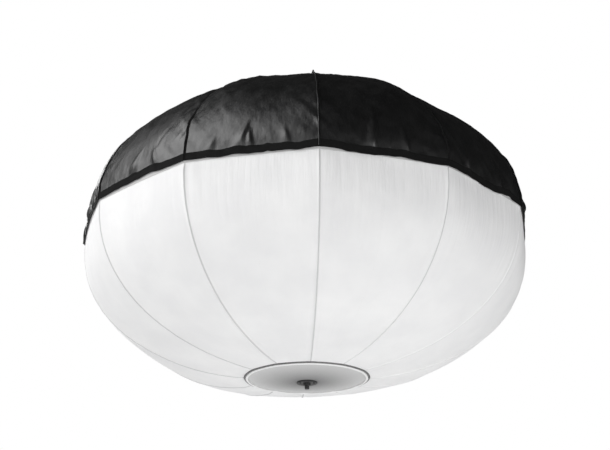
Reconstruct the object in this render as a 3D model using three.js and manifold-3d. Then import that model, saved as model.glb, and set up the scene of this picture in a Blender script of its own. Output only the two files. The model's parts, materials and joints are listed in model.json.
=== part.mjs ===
// A self-inflating lighting balloon, hung by a swivel eye over its crown: a white fabric envelope sewn
// from gores with a black cover over its upper half, a mast down its middle that carries the lamp, a
// blower and a control box on the crown plate, and a grey end panel with a stand spigot at the bottom.
// Millimetres, +Z up. The origin is the point inside the swivel eye where the hook bears.
// Inside the "balloon" group z = 0 is the hem of the black cover, and seam 0 faces -Y.

import * as THREE from "three";
import { mergeVertices } from "three/addons/utils/BufferGeometryUtils.js";
import Module from "manifold-3d";

// Driving dimensions
const WIDEST = 797; // from the axis to a seam where the envelope is widest
const PANELS = 12; // gores around the envelope
const TOP_RISE = 0.673 * WIDEST; // from the widest ring to the top of the full curve
const BOTTOM_DROP = 0.617 * WIDEST; // from the widest ring to the bottom of the full curve
const WIDEST_Z = -0.007 * WIDEST; // the widest ring is just under the hem
const TOP_CURVE = { upright: 2.24, across: 2.03 }; // superellipse powers
const BOTTOM_CURVE = { upright: 2.19, across: 2.35 };
const BULGE_TOP = 0.008; // how far a gore's middle stands out of the flat between its seams, over its radius
const BULGE_BOTTOM = 0.027;
const BULGE_DEPTH = 200; // the bulge grows from one to the other over this depth below the hem
const FABRIC = 1.5;
const GAP = 0.3; // between pieces that touch

const TAPE_WIDTH = 24; // the hook-and-loop tape along the hem
const TAPE_THICK = 1;
const TAPE_PEEK = 3; // the loop tape shows this far below the hem

const HOOP_RADIUS = 0.275 * WIDEST; // the hoop around the end panel
const HOOP_WIDTH = 4;
const HOOP_HEIGHT = 9;
const PANEL_DISH = 13.5; // the end panel's middle hangs this far below its edge
const FLANGE_RADIUS = 35.5;
const FLANGE_THICK = 5;
const SPIGOT_RADIUS = 8; // the 16 mm spigot of a light stand
const SPIGOT_LENGTH = 12;
const SHANK_RADIUS = 5;
const COLLAR_RADIUS = 12.5;
const COLLAR_HEIGHT = 6.5;
const FLANGE_SCREWS = 3;
const FLANGE_SCREW_CIRCLE = 27;

const MAST_RADIUS = 16;
const MAST_WALL = 2;
const MAST_ABOVE_CROWN = 34; // the mast's end over the top of the crown plate

const CROWN_RADIUS = 140;
const CROWN_THICK = 4;
const COLLAR_INNER = 126; // the fabric's edge between the crown's clamp rings
const CLAMP_INNER = 109;
const CROWN_BOLTS = 6;
const CROWN_BOLT_CIRCLE = 117;

const EYE_RADIUS = 24; // to the middle of the ring's bar
const EYE_BAR = 7;

const BLOWER_X = 66;
const BLOWER_RADIUS = 42;
const BLOWER_HEIGHT = 54;
const BLOWER_WALL = 2.5;
const INTAKE_RADIUS = 34;
const GRILLE_RADIUS = 44;
const GRILLE_HEIGHT = 13;

const BOX_X = -70; // the control box's middle
const BOX = { x: 72, y: 100, z: 44, wall: 2.5, lid: 3 };
const ROCKER_TILT = THREE.MathUtils.degToRad(8); // to either side of level

const LAMP_LENGTH = 220;
const LAMP_SIDE = 76;
const GUARD_RADIUS = 78;
const GUARD_LENGTH = 260;
const DRIVER = { x: 46, y: 34, z: 150 };
const DRIVER_Z = 190; // its lower end

// Heights that follow
const crownZ = skinPoint(turnAtRadius(CROWN_RADIUS), 0).y; // outside of the envelope's collar
const COVER_OFF = GAP + TAPE_THICK + GAP + 0.2; // the cover lies this far off the envelope
const plateZ = crownZ + COVER_OFF + FABRIC + GAP; // underside of the crown plate
const plateTop = plateZ + CROWN_THICK;
const hoopZ = skinPoint(turnAtHoop(), 0).y; // where the envelope meets the hoop
const panelZ = hoopZ - PANEL_DISH; // upper face of the end panel's flat middle
const flangeZ = panelZ - FABRIC - GAP; // upper face of the bottom flange
const mastFootZ = panelZ + GAP; // underside of the mast foot
const mastBottom = mastFootZ + 9 + GAP;
const mastTop = plateTop + MAST_ABOVE_CROWN;
const eyeZ = mastTop + 12 + EYE_BAR + EYE_RADIUS; // middle of the swivel eye's ring
const hangZ = eyeZ + EYE_RADIUS - EYE_BAR; // where the hook bears

const white = finish("#f2f2f0", 0.8, 0);
const black = finish("#1b1b1c", 0.6, 0);
const tapeBlack = finish("#141414", 0.9, 0);
const tapeGrey = finish("#c9c9c8", 0.9, 0);
const panelGrey = finish("#b4b4b4", 0.75, 0);
const hoopGrey = finish("#808080", 0.6, 0);
const blackMetal = finish("#161617", 0.45, 0.2);
const aluminium = finish("#b9bcc0", 0.4, 0.9);
const steel = finish("#8d9094", 0.35, 1);
const plastic = finish("#232427", 0.55, 0);
const rubber = finish("#2a2a2a", 0.9, 0);
const foam = finish("#4a4c50", 1, 0);
const boardWhite = finish("#e9e9e4", 0.5, 0);
const clear = finish("#dfe8ea", 0.15, 0);

// Helpers

function finish(color, roughness, metalness) {
  return { color, roughness, metalness };
}

function part(name, geometry, look, x = 0, y = 0, z = 0) {
  const mesh = new THREE.Mesh(geometry, new THREE.MeshStandardMaterial(look));
  mesh.name = name;
  mesh.position.set(x, y, z);
  return mesh;
}

// Turns a profile of [radius, height] points, closed on itself, about the Z axis. Column 0 faces -Y.
function turned(profile, columns = 24) {
  const points = profile.map(([r, z]) => new THREE.Vector2(r, z));
  if (THREE.ShapeUtils.area(points) < 0) points.reverse();
  points.push(points[0].clone());
  return new THREE.LatheGeometry(points, columns).rotateX(Math.PI / 2);
}

function disc(radius, low, high, columns = 24) {
  return turned([[0, low], [radius, low], [radius, high], [0, high]], columns);
}

function ring(inner, outer, low, high, columns = 24) {
  return turned([[inner, low], [outer, low], [outer, high], [inner, high]], columns);
}

function block(x, y, z) {
  return new THREE.BoxGeometry(x, y, z);
}

function extruded(shape, height) {
  return new THREE.ExtrudeGeometry(shape, { depth: height, bevelEnabled: false });
}

// A rectangle whose corners are cut off in two steps, as a coarse round.
function rectangle(width, depth, corner) {
  const [x, y] = [width / 2, depth / 2];
  const near = corner * (1 - Math.SQRT1_2);
  const quarter = [[x, y - corner], [x - near, y - near], [x - corner, y]];
  const half = [...quarter, ...quarter.map(([px, py]) => [-px, py]).reverse()];
  const whole = [...half, ...half.map(([px, py]) => [px, -py]).reverse()];
  return new THREE.Shape(whole.map(([px, py]) => new THREE.Vector2(px, py)));
}

function cable(points, radius, steps) {
  const route = new THREE.CatmullRomCurve3(points.map((p) => new THREE.Vector3(...p)));
  const section = new THREE.Shape().absarc(0, 0, radius, 0, 2 * Math.PI);
  return new THREE.ExtrudeGeometry(section, { steps, extrudePath: route, curveSegments: 4 });
}

const wasm = await Module();
wasm.setup();

function solid(geometry) {
  const bare = geometry.clone();
  bare.deleteAttribute("normal");
  bare.deleteAttribute("uv");
  const merged = mergeVertices(bare, 1e-3);
  const vertProperties = merged.attributes.position.array;
  const triVerts = new Uint32Array(merged.index.array);
  return new wasm.Manifold(new wasm.Mesh({ numProp: 3, vertProperties, triVerts }));
}

function shown(manifold) {
  const mesh = manifold.getMesh();
  const geometry = new THREE.BufferGeometry();
  geometry.setAttribute("position", new THREE.BufferAttribute(mesh.vertProperties, 3));
  geometry.setIndex(new THREE.BufferAttribute(mesh.triVerts, 1));
  return geometry;
}

function joined(first, ...others) {
  return shown(others.reduce((whole, next) => whole.add(solid(next)), solid(first)));
}

function cut(body, ...tools) {
  return shown(tools.reduce((left, tool) => left.subtract(solid(tool)), solid(body)));
}

function aroundAxis(count, radius, start = 0) {
  return Array.from({ length: count }, (_, i) => {
    const angle = start + (2 * Math.PI * i) / count;
    return [radius * Math.cos(angle), radius * Math.sin(angle), angle];
  });
}

function holes(places, radius, low, high) {
  return places.map(([x, y]) => disc(radius, low, high, 8).translate(x, y, 0));
}

// A hexagon-headed bolt with its shank down from z = 0 and its head above.
function bolt(head, headHeight, shank, length) {
  const cap = disc(head, 0, headHeight, 6);
  return joined(cap, disc(shank, -length, 0.5, 8));
}

// The envelope's outline

function curveAt(turn) {
  return Math.cos(turn) > 0
    ? { rise: TOP_RISE, ...TOP_CURVE }
    : { rise: -BOTTOM_DROP, ...BOTTOM_CURVE };
}

// A point of the seam's curve, x its radius and y its height, moved off it by "proud". turn is 0 at the top.
function skinPoint(turn, proud) {
  const { rise, upright, across } = curveAt(turn);
  const r = Math.pow(Math.sin(turn), 2 / across);
  const z = Math.pow(Math.abs(Math.cos(turn)), 2 / upright);
  const point = new THREE.Vector2(WIDEST * r, WIDEST_Z + rise * z);
  const outX = (across * Math.pow(r, across - 1)) / WIDEST;
  const outZ = (upright * Math.pow(z, upright - 1)) / rise;
  return point.add(new THREE.Vector2(outX, outZ).setLength(proud));
}

function turnAtRadius(radius) {
  return Math.asin(Math.pow(radius / WIDEST, TOP_CURVE.across / 2));
}

function turnAtHoop() {
  return Math.PI - Math.asin(Math.pow(HOOP_RADIUS / WIDEST, BOTTOM_CURVE.across / 2));
}

function turnAtHeight(z) {
  const above = z > WIDEST_Z;
  const { rise, upright } = curveAt(above ? 0 : Math.PI);
  const share = Math.pow((z - WIDEST_Z) / rise, upright / 2);
  return above ? Math.acos(share) : Math.acos(-share);
}

function evenly(from, to, steps) {
  return Array.from({ length: steps + 1 }, (_, i) => from + ((to - from) * i) / steps);
}

// A closed profile of fabric that follows the outline through the given rows, from "inner" to
// "inner + thick" off it. With a collar it runs on flat to the clamp rings of the crown. The rows lie
// where the bulge is even: the two skins' triangles lie on opposite diagonals, so they need flat quads.
function skinProfile(rows, inner, thick, collar) {
  const outside = rows.map((turn) => skinPoint(turn, inner + thick).toArray());
  const inside = rows.map((turn) => skinPoint(turn, inner).toArray());
  if (collar) {
    outside.unshift([COLLAR_INNER, outside[0][1]]);
    inside.unshift([COLLAR_INNER, inside[0][1]]);
  }
  return [...outside, ...inside.reverse()];
}

// Turned with one column on each seam and one in each gore's middle, which lies between its seams.
function gored(profile) {
  const geometry = turned(profile, 2 * PANELS);
  const place = geometry.attributes.position;
  for (let i = 0; i < place.count; i += 1) {
    const column = Math.round(Math.atan2(place.getX(i), -place.getY(i)) / (Math.PI / PANELS));
    if (column % 2 === 0) continue;
    const high = THREE.MathUtils.smoothstep(place.getZ(i), -BULGE_DEPTH, -TAPE_PEEK - 1);
    const bulge = THREE.MathUtils.lerp(BULGE_BOTTOM, BULGE_TOP, high);
    const pull = Math.cos(Math.PI / PANELS) + bulge;
    place.setXY(i, place.getX(i) * pull, place.getY(i) * pull);
  }
  return geometry;
}

// Fabric

const hemTurn = turnAtHeight(0);
const tapeTopTurn = turnAtHeight(TAPE_WIDTH);
const peekTurn = turnAtHeight(-TAPE_PEEK);
const coverRows = [...evenly(turnAtRadius(CROWN_RADIUS), tapeTopTurn, 8), hemTurn];
const lowerRows = evenly(peekTurn, turnAtHoop(), 9);

// The outer skin's solid less the inner skin's, which also cuts the mouths at the crown and the hoop.
function envelope() {
  const rows = [...coverRows, ...lowerRows];
  const outside = rows.map((turn) => skinPoint(turn, 0).toArray());
  const inside = rows.map((turn) => skinPoint(turn, -FABRIC).toArray());
  const [top, bottom] = [outside[0][1], outside.at(-1)[1]];
  const mouth = inside.at(-1)[0];
  const past = 10; // the inner solid runs this far out of each mouth
  const whole = [[0, top], ...outside, [0, bottom]];
  const hollow = [
    [0, top + past],
    [COLLAR_INNER, top + past],
    [COLLAR_INNER, inside[0][1]],
    ...inside,
    [mouth, bottom - past],
    [0, bottom - past],
  ];
  return cut(gored(whole), gored(hollow));
}

function topCover() {
  return gored(skinProfile(coverRows, COVER_OFF, FABRIC, true));
}

function loopTape() {
  return gored(skinProfile([tapeTopTurn, hemTurn, peekTurn], GAP + 0.1, TAPE_THICK, false));
}

function hemTape() {
  const off = COVER_OFF + FABRIC + GAP + 0.1;
  return gored(skinProfile([tapeTopTurn, hemTurn], off, TAPE_THICK, false));
}

// The bottom end: panel, hoop, flange and spigot

const flangeScrewPlaces = aroundAxis(FLANGE_SCREWS, FLANGE_SCREW_CIRCLE, Math.PI / 2);
const screwShank = 2;

function bottomHoop() {
  const outer = HOOP_RADIUS - FABRIC - GAP;
  const low = hoopZ - HOOP_HEIGHT / 2;
  const inner = outer - HOOP_WIDTH;
  return gored([[inner, low], [outer, low], [outer, low + HOOP_HEIGHT], [inner, low + HOOP_HEIGHT]]);
}

function bottomPanel() {
  const edge = HOOP_RADIUS - FABRIC - 2 * GAP - HOOP_WIDTH - 0.1;
  const flat = FLANGE_RADIUS + 2;
  const hole = SHANK_RADIUS + 1;
  const upper = [[edge, hoopZ], [flat, panelZ], [hole, panelZ]];
  const lower = upper.map(([r, z]) => [r, z - FABRIC]).reverse();
  return cut(gored([...upper, ...lower]), ...holes(flangeScrewPlaces, screwShank + 0.5, panelZ - 5, panelZ + 5));
}

function bottomFlange() {
  const low = -FLANGE_THICK;
  const plate = turned([
    [SHANK_RADIUS + GAP, low],
    [FLANGE_RADIUS - 1.5, low],
    [FLANGE_RADIUS, low + 1.5],
    [FLANGE_RADIUS, 0],
    [SHANK_RADIUS + GAP, 0],
  ]);
  return cut(plate, ...holes(flangeScrewPlaces, screwShank + 0.4, low - 1, 1));
}

// A round foot that the mast stands in, with a floor that the spigot's shank passes through.
function mastFoot() {
  const bore = MAST_RADIUS + GAP;
  const foot = turned([
    [SHANK_RADIUS + GAP, 0],
    [FLANGE_RADIUS + 0.5, 0],
    [FLANGE_RADIUS + 0.5, 5],
    [bore + 6, 7],
    [bore + 6, 40],
    [bore, 40],
    [bore, 9],
    [SHANK_RADIUS + GAP, 9],
  ]);
  return cut(foot, ...holes(flangeScrewPlaces, screwShank + 0.4, -1, 3.5));
}

function lockCollar() {
  const inner = SHANK_RADIUS + GAP;
  return turned([
    [inner, -COLLAR_HEIGHT],
    [COLLAR_RADIUS - 1, -COLLAR_HEIGHT],
    [COLLAR_RADIUS, 1 - COLLAR_HEIGHT],
    [COLLAR_RADIUS, 0],
    [inner, 0],
  ], 20);
}

// The pin below its shoulder at z = 0, and the threaded shank above it.
function spigot(shankLength) {
  const tip = -SPIGOT_LENGTH;
  return turned([
    [0, tip],
    [SPIGOT_RADIUS - 2, tip],
    [SPIGOT_RADIUS - 0.6, tip + 0.6],
    [SPIGOT_RADIUS, tip + 2],
    [SPIGOT_RADIUS, 0],
    [SHANK_RADIUS, 0],
    [SHANK_RADIUS, shankLength],
    [0, shankLength],
  ], 20);
}

function nut(bore, across, height) {
  return ring(bore, across, 0, height, 6);
}

function bottomEnd() {
  const end = new THREE.Group();
  const spigotZ = flangeZ - FLANGE_THICK - 2 * GAP - COLLAR_HEIGHT - GAP;
  const nutZ = mastFootZ + 9 + GAP;
  const nutHeight = 8;
  end.add(
    part("bottom_panel", bottomPanel(), panelGrey),
    part("bottom_hoop", bottomHoop(), hoopGrey),
    part("bottom_flange", bottomFlange(), blackMetal, 0, 0, flangeZ),
    part("mast_foot", mastFoot(), aluminium, 0, 0, mastFootZ),
    part("lock_collar", lockCollar(), blackMetal, 0, 0, flangeZ - FLANGE_THICK - GAP),
    part("spigot", spigot(nutZ + nutHeight + 2 - spigotZ), blackMetal, 0, 0, spigotZ),
    part("spigot_nut", nut(SHANK_RADIUS + 1, 10, nutHeight), steel, 0, 0, nutZ),
  );
  const screwZ = flangeZ - FLANGE_THICK - GAP;
  flangeScrewPlaces.forEach(([x, y], i) => {
    const screw = bolt(3.6, 2.4, screwShank, 9).rotateX(Math.PI);
    end.add(part(`flange_screw_${i + 1}`, screw, blackMetal, x, y, screwZ));
  });
  return end;
}

// The crown: plate, clamp ring and bolts

const boltPlaces = aroundAxis(CROWN_BOLTS, CROWN_BOLT_CIRCLE, Math.PI / CROWN_BOLTS);
const boltShank = 2.5;
const glandX = BOX_X + 10;
const glandRadius = 6;

function crownPlate() {
  const plate = ring(MAST_RADIUS + GAP, CROWN_RADIUS, 0, CROWN_THICK, 36);
  return cut(
    plate,
    ...holes(boltPlaces, boltShank + GAP, -1, CROWN_THICK + 1),
    disc(INTAKE_RADIUS, -1, CROWN_THICK + 1).translate(BLOWER_X, 0, 0),
    disc(glandRadius + GAP, -1, CROWN_THICK + 1, 12).translate(glandX, 0, 0),
  );
}

function clampRing() {
  const body = ring(CLAMP_INNER, CROWN_RADIUS - 3, -CROWN_THICK, 0, 36);
  return cut(body, ...holes(boltPlaces, boltShank + GAP, -CROWN_THICK - 1, 1));
}

function crown() {
  const top = new THREE.Group();
  const clampZ = crownZ - FABRIC - GAP;
  const gasketThick = COVER_OFF - 2 * GAP;
  const gasket = gored([
    [COLLAR_INNER, 0],
    [CROWN_RADIUS - 4, 0],
    [CROWN_RADIUS - 4, gasketThick],
    [COLLAR_INNER, gasketThick],
  ]);
  top.add(
    part("crown_plate", crownPlate(), aluminium, 0, 0, plateZ),
    part("crown_clamp_ring", clampRing(), aluminium, 0, 0, clampZ),
    part("crown_gasket", gasket, rubber, 0, 0, crownZ + GAP),
  );
  const boltLength = plateTop + GAP - clampZ + CROWN_THICK - 0.6;
  boltPlaces.forEach(([x, y], i) => {
    const piece = bolt(5, 4, boltShank, boltLength);
    top.add(part(`crown_bolt_${i + 1}`, piece, steel, x, y, plateTop + GAP));
  });
  return top;
}

// The mast and the swivel eye over it

const plugRadius = MAST_RADIUS - MAST_WALL - GAP;
const studRadius = 6;

function mast() {
  return ring(MAST_RADIUS - MAST_WALL, MAST_RADIUS, mastBottom, mastTop);
}

// A cap over the mast's end with a plug inside it, bored for the eye's stud. z = 0 is the mast's end.
function liftingPlug() {
  return turned([
    [studRadius + GAP, -26],
    [plugRadius, -26],
    [plugRadius, GAP],
    [MAST_RADIUS + 3, GAP],
    [MAST_RADIUS + 3, 8],
    [MAST_RADIUS, 10],
    [studRadius + GAP, 10],
  ]);
}

// A ring on a shouldered stud. z = 0 is the ring's middle.
function swivelEye() {
  const bar = new THREE.TorusGeometry(EYE_RADIUS, EYE_BAR, 10, 20).rotateX(Math.PI / 2);
  const under = mastTop + 10 + GAP - eyeZ;
  const stud = turned([
    [0, under - 48],
    [studRadius, under - 48],
    [studRadius, under],
    [13, under],
    [13, under + 4],
    [9, 4 - EYE_RADIUS],
    [0, 4 - EYE_RADIUS],
  ], 16);
  return joined(bar, stud);
}

function liftingGear() {
  const gear = new THREE.Group();
  gear.add(
    part("mast", mast(), aluminium),
    part("crown_mast_collar", ring(MAST_RADIUS + GAP, MAST_RADIUS + 5, 0, 16), aluminium, 0, 0, plateTop + GAP),
    part("lifting_plug", liftingPlug(), steel, 0, 0, mastTop),
    part("swivel_eye", swivelEye(), steel, 0, 0, eyeZ),
    part("swivel_nut", nut(studRadius + 1.2, 11, 9), steel, 0, 0, mastTop - 26 - GAP - 9),
  );
  return gear;
}

// The blower, hung under the crown plate. z = 0 is the plate's underside.

const outlet = { x: 26, y: 15, middle: -28.5 }; // the hole in the housing's floor
const flapHinge = { y: -16.5, z: -BLOWER_HEIGHT - 2.6, pin: 1.2 };
const motorTop = -BLOWER_HEIGHT + BLOWER_WALL + GAP + 22;

function blowerHousing() {
  const inner = BLOWER_RADIUS - BLOWER_WALL;
  const top = -GAP;
  const floor = -BLOWER_HEIGHT + BLOWER_WALL;
  const cup = turned([
    [0, -BLOWER_HEIGHT],
    [BLOWER_RADIUS, -BLOWER_HEIGHT],
    [BLOWER_RADIUS, top],
    [INTAKE_RADIUS, top],
    [INTAKE_RADIUS, top - BLOWER_WALL],
    [inner, top - BLOWER_WALL],
    [inner, floor],
    [0, floor],
  ]);
  const way = block(outlet.x, outlet.y, 20).translate(0, outlet.middle, floor);
  const lugs = [-1, 1].map((side) => block(3, 6, 7).translate(side * 19.5, flapHinge.y, flapHinge.z + 0.3));
  const bore = disc(flapHinge.pin + 0.2, -30, 30, 12).rotateY(Math.PI / 2).translate(0, flapHinge.y, flapHinge.z);
  return cut(joined(shown(solid(cup).subtract(solid(way))), ...lugs), bore);
}

// A plate that closes the outlet from below and turns down about its pin.
function checkFlap() {
  const reach = outlet.y + 8;
  const plate = block(outlet.x + 7, reach, 1.4).translate(0, -reach / 2 + 0.5, 1.5);
  const knuckle = disc(2.1, -17.4, 17.4, 12).rotateY(Math.PI / 2);
  const bore = disc(flapHinge.pin + 0.2, -20, 20, 12).rotateY(Math.PI / 2);
  return cut(joined(plate, knuckle), bore);
}

function impeller() {
  const blades = 7;
  const outer = 33;
  const inner = 13;
  const sweep = 0.7;
  const half = 0.9;
  const steps = 3;
  const outline = new THREE.Shape();
  const along = evenly(0, 1, steps).map((share) => {
    const radius = inner + (outer - inner) * share;
    return [radius, -sweep * share];
  });
  const side = (offset) => along.map(([radius, angle]) => {
    const turn = angle + offset / radius;
    return new THREE.Vector2(radius * Math.cos(turn), radius * Math.sin(turn));
  });
  outline.setFromPoints([...side(-half), ...side(half).reverse()]);
  const blade = extruded(outline, 16.5);
  const wheel = turned([[2.3, 0], [outer, 0], [outer, 2], [inner + 1, 2], [10, 14], [2.3, 14]]);
  const fins = aroundAxis(blades, 0).map(([, , angle]) => blade.clone().rotateZ(angle).translate(0, 0, 1));
  return joined(wheel, ...fins);
}

function motor() {
  const can = disc(17, 0, 20, 16);
  const boss = disc(6, 19, 22, 12);
  const bore = disc(2.4, 12, 30, 12);
  return cut(joined(can, boss), bore);
}

// A shallow ring-shaped cover with bars across its top, over the intake.
function intakeGrille() {
  const wall = turned([
    [INTAKE_RADIUS + 3, 0],
    [GRILLE_RADIUS, 0],
    [GRILLE_RADIUS, 2.5],
    [GRILLE_RADIUS - 4, 3.5],
    [GRILLE_RADIUS - 6, GRILLE_HEIGHT],
    [INTAKE_RADIUS, GRILLE_HEIGHT],
    [INTAKE_RADIUS, GRILLE_HEIGHT - 3],
    [INTAKE_RADIUS + 2, GRILLE_HEIGHT - 4],
  ]);
  const low = GRILLE_HEIGHT - 2.4;
  const high = GRILLE_HEIGHT - 0.2;
  const rings = [12, 23].map((radius) => ring(radius - 1, radius + 1, low + 0.3, high - 0.3, 16));
  const bars = aroundAxis(3, 0).map(([, , angle]) => {
    return block(2 * INTAKE_RADIUS + 3, 2, high - low).translate(0, 0, (low + high) / 2).rotateZ(angle / 2);
  });
  return joined(wall, ...rings, ...bars);
}

function blower() {
  const unit = new THREE.Group();
  unit.position.set(BLOWER_X, 0, plateZ);
  const floor = -BLOWER_HEIGHT + BLOWER_WALL;
  const pin = disc(flapHinge.pin, -22, 22, 12).rotateY(Math.PI / 2);
  unit.add(
    part("blower_housing", blowerHousing(), plastic),
    part("blower_motor", motor(), steel, 0, 0, floor + GAP),
    part("motor_shaft", disc(2, -8, 22, 12), steel, 0, 0, motorTop),
    part("impeller", impeller(), plastic, 0, 0, motorTop + 2),
    part("check_flap", checkFlap(), plastic, 0, flapHinge.y, flapHinge.z),
    part("check_flap_pin", pin, steel, 0, flapHinge.y, flapHinge.z),
    part("intake_filter", disc(INTAKE_RADIUS + 1.5, 0, 7), foam, 0, 0, CROWN_THICK + GAP),
    part("intake_grille", intakeGrille(), plastic, 0, 0, CROWN_THICK + GAP),
  );
  return unit;
}

// The control box on the crown plate. z = 0 is the top of the plate.

const inletZ = 21;
const inletRadius = 12;
const inletPin = { out: 6.4, up: 16.6, radius: 1.2 };
const switchPlace = [12, -24];
const knobPlace = [12, 20];
const lidScrewPlaces = [[-28, 42], [28, -42]];

function controlBox() {
  const { x, y, z, wall, lid } = BOX;
  const tray = cut(
    extruded(rectangle(x, y, 6), z - lid),
    extruded(rectangle(x - 2 * wall, y - 2 * wall, 4), z).translate(0, 0, wall),
    disc(glandRadius + GAP, -1, wall + 1, 12).translate(glandX - BOX_X, 0, 0),
    disc(inletRadius + GAP, -8, 8, 16).rotateY(Math.PI / 2).translate(-x / 2, 0, inletZ),
  );
  const posts = lidScrewPlaces.map(([px, py]) => disc(5, wall - 0.5, z - lid, 8).translate(px, py, 0));
  return cut(joined(tray, ...posts), ...holes(lidScrewPlaces, 1.8, z - lid - 12, z));
}

function controlBoxLid() {
  const { x, y, lid } = BOX;
  return cut(
    extruded(rectangle(x, y, 6), lid - GAP),
    block(13, 21, 20).translate(...switchPlace, 0),
    ...holes([knobPlace], 3.5, -1, lid + 1),
    ...holes(lidScrewPlaces, 2, -1, lid + 1),
  );
}

// Its face points along -X. x = 0 is the outside of the box's wall.
function powerInlet() {
  const face = extruded(rectangle(32, 32, 3), 3).rotateY(-Math.PI / 2).translate(-GAP, 0, 0);
  const barrel = disc(inletRadius, -1, 22, 16).rotateY(Math.PI / 2);
  const lugs = [-1, 1].map((side) => block(7.2, 3, 6.4).translate(-6.6, side * 7.5, inletPin.up));
  const socket = disc(9, -10, 17, 16).rotateY(Math.PI / 2);
  const pins = aroundAxis(3, 4.6, Math.PI / 2).map(([y, z]) => {
    return disc(1.2, 2, 18, 6).rotateY(Math.PI / 2).translate(0, y, z);
  });
  const bore = disc(inletPin.radius + 0.2, -12, 12, 12).rotateX(Math.PI / 2);
  bore.translate(-inletPin.out, 0, inletPin.up);
  return joined(cut(joined(face, barrel, ...lugs), socket, bore), ...pins);
}

// A round flap over the socket, with a knuckle on the pin. z = 0 is the pin.
function inletCover() {
  const inner = inletPin.out - 3.8;
  const lid = disc(12.5, inner - 2.5, inner, 20).rotateY(Math.PI / 2).translate(0, 0, -inletPin.up);
  const tab = block(2.5, 9, 10).translate(inner - 1.25, 0, -5.5);
  const knuckle = disc(2.4, -5.6, 5.6, 12).rotateX(Math.PI / 2);
  const bore = disc(inletPin.radius + 0.2, -8, 8, 12).rotateX(Math.PI / 2);
  return cut(joined(lid, tab, knuckle), bore);
}

// A rocker with its two halves at a shallow angle, tipped to off about X through z = 0.
function rockerSwitch() {
  const outline = [[-9.2, -4], [9.2, -4], [9.2, 3.4], [0, 2], [-9.2, 3.4]];
  const side = new THREE.Shape(outline.map(([y, z]) => new THREE.Vector2(y, z)));
  const rocker = extruded(side, 12).translate(0, 0, -6).rotateZ(Math.PI / 2).rotateY(Math.PI / 2);
  return rocker.rotateX(-ROCKER_TILT);
}

function dimmerKnob() {
  const body = turned([[0, 0], [12, 0], [11, 13], [10, 14], [0, 14]], 20);
  const pointer = block(2, 9, 2).translate(0, 6.5, 13.8);
  const shaft = disc(3, -8, 1, 8);
  return joined(body, pointer, shaft);
}

function controls() {
  const unit = new THREE.Group();
  unit.position.set(BOX_X, 0, plateTop + GAP);
  const { x, z, lid } = BOX;
  const pinX = -x / 2 - inletPin.out;
  const coverPin = disc(inletPin.radius, -9, 9, 12).rotateX(Math.PI / 2);
  unit.add(
    part("control_box", controlBox(), plastic),
    part("control_box_lid", controlBoxLid(), plastic, 0, 0, z - lid + GAP),
    part("power_inlet", powerInlet(), plastic, -x / 2, 0, inletZ),
    part("inlet_cover", inletCover(), rubber, pinX, 0, inletZ + inletPin.up),
    part("inlet_cover_pin", coverPin, steel, pinX, 0, inletZ + inletPin.up),
    part("power_switch", rockerSwitch(), plastic, ...switchPlace, z),
    part("dimmer_knob", dimmerKnob(), plastic, ...knobPlace, z + GAP),
    part("cable_gland", cableGland(), rubber, glandX - BOX_X, 0, 0),
  );
  lidScrewPlaces.forEach(([px, py], i) => {
    const screw = joined(disc(3.2, 0, 2, 12), disc(1.5, -10, 1, 12));
    unit.add(part(`lid_screw_${i + 1}`, screw, steel, px, py, z + GAP));
  });
  return unit;
}

// A sleeve through the box's floor and the crown plate, with a lip inside the box.
const gland = { bore: 4.2, low: -12 };

function cableGland() {
  return turned([
    [gland.bore, gland.low],
    [glandRadius, gland.low],
    [glandRadius, BOX.wall + GAP],
    [glandRadius + 3, BOX.wall + GAP],
    [glandRadius + 3, BOX.wall + 3],
    [gland.bore, BOX.wall + 3],
  ], 16);
}

// The lamp on the mast, its guard and its driver. z = 0 is the hem.

const ventPlaces = aroundAxis(6, 58, Math.PI / 6);
const boardThick = 3;

function heatSink() {
  const half = LAMP_LENGTH / 2;
  const core = extruded(rectangle(LAMP_SIDE, LAMP_SIDE, 4), LAMP_LENGTH).translate(0, 0, -half);
  const bore = disc(MAST_RADIUS + GAP, -half - 1, half + 1);
  return cut(core, bore, ...holes(aroundAxis(4, 37, Math.PI / 4), 9, -half - 1, half + 1));
}

// A board that stands on +X with a raised strip of emitters down its middle.
function ledBoard() {
  const board = block(1.6, LAMP_SIDE - 16, LAMP_LENGTH - 20).translate(0.8, 0, 0);
  const strip = block(boardThick, 24, LAMP_LENGTH - 36).translate(boardThick / 2, 0, 0);
  return joined(board, strip);
}

function guardCap() {
  const cap = ring(MAST_RADIUS + GAP, GUARD_RADIUS, 0, 5);
  return cut(cap, ...holes(ventPlaces, 8, -1, 6));
}

function driverBracket() {
  const reach = MAST_RADIUS + GAP + 4;
  const sleeve = ring(MAST_RADIUS + GAP, reach, 0, DRIVER.z);
  const wing = block(DRIVER.x, 3, DRIVER.z).translate(0, reach - 1, DRIVER.z / 2);
  return joined(sleeve, wing);
}

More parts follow.
